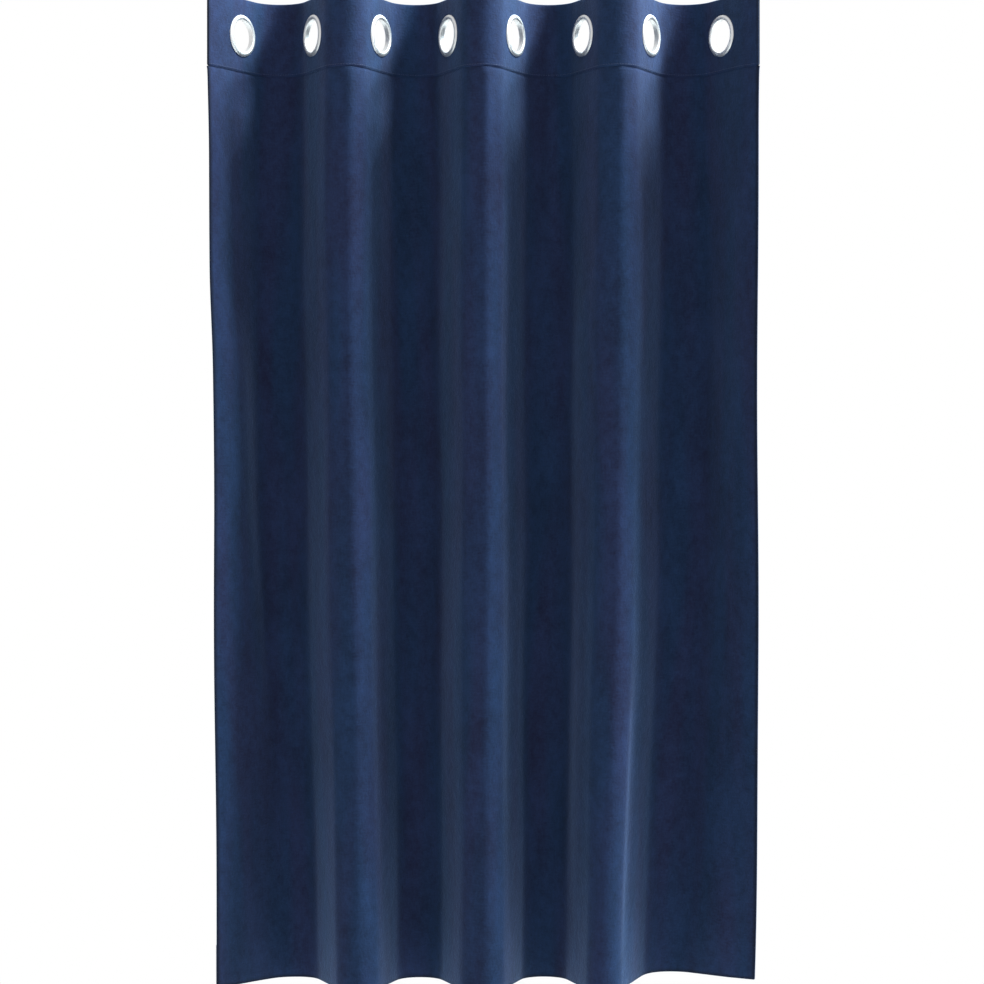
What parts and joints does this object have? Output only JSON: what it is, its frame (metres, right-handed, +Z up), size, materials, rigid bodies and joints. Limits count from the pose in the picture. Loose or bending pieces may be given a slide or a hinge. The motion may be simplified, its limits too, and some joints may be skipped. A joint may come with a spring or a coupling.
{
  "type": "velvet eyelet curtain",
  "caption": "Navy velvet curtain panel hanging in soft zigzag folds from a row of empty metal eyelets set in a seamed heading strip.",
  "frame": {"origin": "middle of the top edge, on the line through the eyelets' centres in plan", "axes": "+Z up, -Y towards the room, +X to the right seen from the room"},
  "size_m": [0.7546, 0.1238, 1.3701],
  "materials": {
    "velvet": "navy polyester velvet with a short dense pile, matt with a soft sheen at grazing angles",
    "eyelet_metal": "polished nickel plate"
  },
  "bodies": {
    "root": {"panel": "velvet", "heading": "velvet", "eyelet_front_1": "eyelet_metal", "eyelet_front_2": "eyelet_metal", "eyelet_front_3": "eyelet_metal", "eyelet_front_4": "eyelet_metal", "eyelet_front_5": "eyelet_metal", "eyelet_front_6": "eyelet_metal", "eyelet_front_7": "eyelet_metal", "eyelet_front_8": "eyelet_metal", "eyelet_back_1": "eyelet_metal", "eyelet_back_2": "eyelet_metal", "eyelet_back_3": "eyelet_metal", "eyelet_back_4": "eyelet_metal", "eyelet_back_5": "eyelet_metal", "eyelet_back_6": "eyelet_metal", "eyelet_back_7": "eyelet_metal", "eyelet_back_8": "eyelet_metal"}
  },
  "joints": []
}
